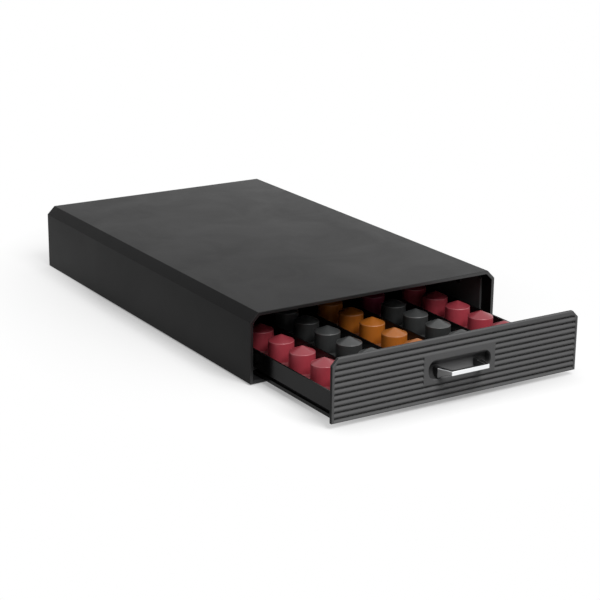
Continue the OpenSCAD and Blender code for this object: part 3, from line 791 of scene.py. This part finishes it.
def build_front():
    rows = front_rows()
    inner, outer = front_columns()
    right = [(1, "inner", x) for x in inner] + [(1, "outer", s) for s in outer]
    left = [(-1, kind, value) for _, kind, value in reversed(right[1:])]
    columns = left + right
    bm = bmesh.new()
    bm.verts.layers.float.new("painted_shade")
    front, rear = (outer_loop(panel_side(bm, rows, columns, back)) for back in (False, True))
    for i in range(len(front)):
        j = (i + 1) % len(front)
        bm.faces.new((front[i], front[j], rear[j], rear[i]))
    piece = piece_from(bm, "ribbed_front")
    soften_angle(piece.data, FRONT_SHARP_DEGREES)
    print("front panel grid:", len(rows), "rows,", len(columns), "columns")
    dress(piece, "drawer", FRONT_GREY, ("front_panel",))


build_front()

# %% [markdown]
# ## Handle
#
# The handle is a bow of die-cast zinc with a bright chrome plating. Plating
# rounds every edge, so its edges are eased more than those of the plastic.

# %% Handle
BOW_EASE_MM = 0.8
bow = rounded_copy("handle", "bow_handle", BOW_EASE_MM, segments=4)
dress(bow, "drawer", CHROME, ("handle",))
print("handle faces:", len(bow.data.polygons))

# %% [markdown]
# ## Pods
#
# A pod is a drawn aluminium cup that stands on its rolled rim, with a foil lid
# underneath. Its wall leans in a little, its shoulder is rounded, and its low
# cone ends in a round tip. One profile turned about Z makes each cup, and a
# loop sets them rim to rim.

# %% Pods
FOOT_RADIUS = 13.0
SHOULDER_RADIUS = 12.25
LID = 0.3
ROLL = 0.62
SHOULDER = 22.5
HEIGHT = 28.3
CONE_DEGREES = 64.8
POD_SIDES = 64
POD_SHARP_DEGREES = 30

POD_PROFILE = (
    [(0.0, LID), (17.6, LID)]
    + arc((17.75, LID + ROLL), ROLL, -90, 90, 8)
    + [(16.6, LID + 1.0), (15.6, LID + 1.0)]
    + arc((15.0, LID + 1.9), 0.9, 270, 187, 5)
    + [(FOOT_RADIUS - 0.3, 4.5), (FOOT_RADIUS - 0.315, 5.2)]
    + [(SHOULDER_RADIUS + 0.095, 21.1), (SHOULDER_RADIUS + 0.08, SHOULDER - 0.7)]
    + arc((SHOULDER_RADIUS - 0.85, SHOULDER - 0.4), 0.93, 4, CONE_DEGREES, 5)
    + arc((0.0, HEIGHT - 4.22), 4.0, CONE_DEGREES, 90, 4)
)

POD_LANES = (
    ("pods_lane_1", "red_pods_left", 6, POD_RED, "pod_red"),
    ("pods_lane_2", "grey_pods_left", 6, POD_GREY, "pod_grey"),
    ("pods_lane_3", "orange_pods", 6, POD_ORANGE, "pod_orange"),
    ("pods_lane_4", "grey_pods_right", 5, POD_GREY, "pod_grey"),
    ("pods_lane_4_rear", "dark_red_pod", 1, POD_DARK_RED, "pod_burgundy"),
    ("pods_lane_5", "red_pods_right", 6, POD_RED, "pod_red"),
)
profile_m = [(r * MM, z * MM) for r, z in POD_PROFILE]
for node, name, count, material, slot_name in POD_LANES:
    low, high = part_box(node)
    pitch = (high.y - low.y) / count
    bm = bmesh.new()
    for k in range(count):
        middle = Vector(((low.x + high.x) / 2, low.y + (k + 0.5) * pitch, low.z - LID * MM))
        turned(bm, profile_m, middle, POD_SIDES)
    piece = piece_from(bm, name)
    soften_angle(piece.data, POD_SHARP_DEGREES)
    dress(piece, "drawer", material, (node,))
print("pods drawn:", sum(count for _, _, count, _, _ in POD_LANES))

# %% [markdown]
# ## Small pieces
#
# Feet, bumpers, screws, clips and foil lids keep their CAD shapes. They only
# need their finish.

# %% Small pieces
KEPT_NODES = (
    (RUBBER, ("foot_front_left", "foot_front_right", "foot_rear_left", "foot_rear_right",
              "bumper_left", "bumper_right")),
    (STEEL, ("base_screws", "back_screws", "front_screws", "handle_screws", "tray_screws")),
    (RAIL_BLACK, ("stop_clip_left", "stop_clip_right")),
    (FOIL, ("pod_lids",)),
)
for material, nodes in KEPT_NODES:
    for node in nodes:
        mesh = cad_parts[node].data
        mesh.materials.clear()
        mesh.materials.append(material)
    print(material.name, "on", len(nodes), "kept nodes")

# %% [markdown]
# ## Studio
#
# The floor is white paper that keeps the soft shadow under the object. A
# painted shadow from ambient occlusion darkens it a little more where the
# object stands close to it, and it fades to plain white far out. The world is
# plain white to the camera and to mirrors, and gives a gentle even light. One
# large soft box stands high in front.

# %% Studio helpers
WHITE = grey(1.0)


def cleared_tree(owner):
    owner.use_nodes = True
    owner.node_tree.nodes.clear()
    return owner.node_tree


def seen_or_mirrored(tree):
    """1 where the camera looks, directly or by a mirror or glass, and 0 for light that bounces."""
    path = add(tree, "ShaderNodeLightPath").outputs
    mirrored = calc(tree, "MAXIMUM", path["Is Glossy Ray"], path["Is Transmission Ray"])
    return calc(tree, "MAXIMUM", path["Is Camera Ray"], mirrored)


# %% Floor
FLOOR_HALF = 4.0
PAPER_SEEN = 1.0
PAPER_BOUNCE = grey(0.06)
PAPER_SHEEN = 0.29
CONTACT_REACH = 0.035
PAINTED_CONTACT_SHADE = 0.72 * PAPER_SEEN
FADE_STRETCH = (1.6, 1.0, 0.0)
FADE_START = 0.28
FADE_END = 0.48

floor_mesh = bpy.data.meshes.new("floor")
corners = [(x * FLOOR_HALF, y * FLOOR_HALF, 0) for x, y in ((-1, -1), (1, -1), (1, 1), (-1, 1))]
floor_mesh.from_pydata(corners, [], [(0, 1, 2, 3)])
floor = bpy.data.objects.new("floor", floor_mesh)
bpy.context.scene.collection.objects.link(floor)

floor_paper = bpy.data.materials.new("floor_paper")
tree = cleared_tree(floor_paper)
seen = seen_or_mirrored(tree)
# Painted shadow: ambient occlusion darkens the paper's colour close to the object.
contact = add(tree, "ShaderNodeAmbientOcclusion", {"Distance": CONTACT_REACH}).outputs["AO"]
paper_with_painted_shade = remap(tree, contact, 0.5, 1.0, PAINTED_CONTACT_SHADE, PAPER_SEEN)
sheet = add(tree, "ShaderNodeBsdfDiffuse", {"Color": blend(tree, seen, PAPER_BOUNCE, paper_with_painted_shade)})
lift = calc(tree, "MULTIPLY", seen, PAPER_SHEEN)
sheen = add(tree, "ShaderNodeEmission", {"Color": WHITE, "Strength": lift})
paper = add(tree, "ShaderNodeAddShader", {0: sheet.outputs[0], 1: sheen.outputs[0]})
place = add(tree, "ShaderNodeNewGeometry").outputs["Position"]
spread = add(tree, "ShaderNodeVectorMath", {0: place, 1: FADE_STRETCH}, operation="MULTIPLY")
reach = add(tree, "ShaderNodeVectorMath", {0: spread.outputs[0]}, operation="LENGTH")
far = remap(tree, reach.outputs["Value"], FADE_START, FADE_END, 0.0, 1.0)
far = calc(tree, "MULTIPLY", far, seen)
glow = add(tree, "ShaderNodeEmission", {"Color": WHITE, "Strength": 1.0})
mixed = add(tree, "ShaderNodeMixShader", {0: far, 1: paper.outputs[0], 2: glow.outputs[0]})
add(tree, "ShaderNodeOutputMaterial", {"Surface": mixed.outputs[0]})
floor_mesh.materials.append(floor_paper)

# %% World
WORLD_LIGHT = 0.26

world = bpy.data.worlds.new("studio")
bpy.context.scene.world = world
tree = cleared_tree(world)
strength = remap(tree, seen_or_mirrored(tree), 0.0, 1.0, WORLD_LIGHT, 1.0)
sky = add(tree, "ShaderNodeBackground", {"Color": WHITE, "Strength": strength})
add(tree, "ShaderNodeOutputWorld", {"Surface": sky.outputs[0]})
print("world light:", WORLD_LIGHT)

# %% Light
BOX_PLACE = Vector((0.0, -1.5, 1.72))
BOX_AIM = Vector((0.0, -0.25, 0.0))
BOX_SIDE = 1.0
BOX_WATTS = 30.5

light = bpy.data.lights.new("front_box", "AREA")
light.shape = "RECTANGLE"
light.size = BOX_SIDE
light.size_y = BOX_SIDE
light.energy = BOX_WATTS
lamp = bpy.data.objects.new("front_box", light)
lamp.location = BOX_PLACE
lamp.rotation_euler = (BOX_AIM - BOX_PLACE).to_track_quat("-Z", "Y").to_euler()
bpy.context.scene.collection.objects.link(lamp)
print("soft box:", BOX_WATTS, "W,", BOX_SIDE, "m wide")
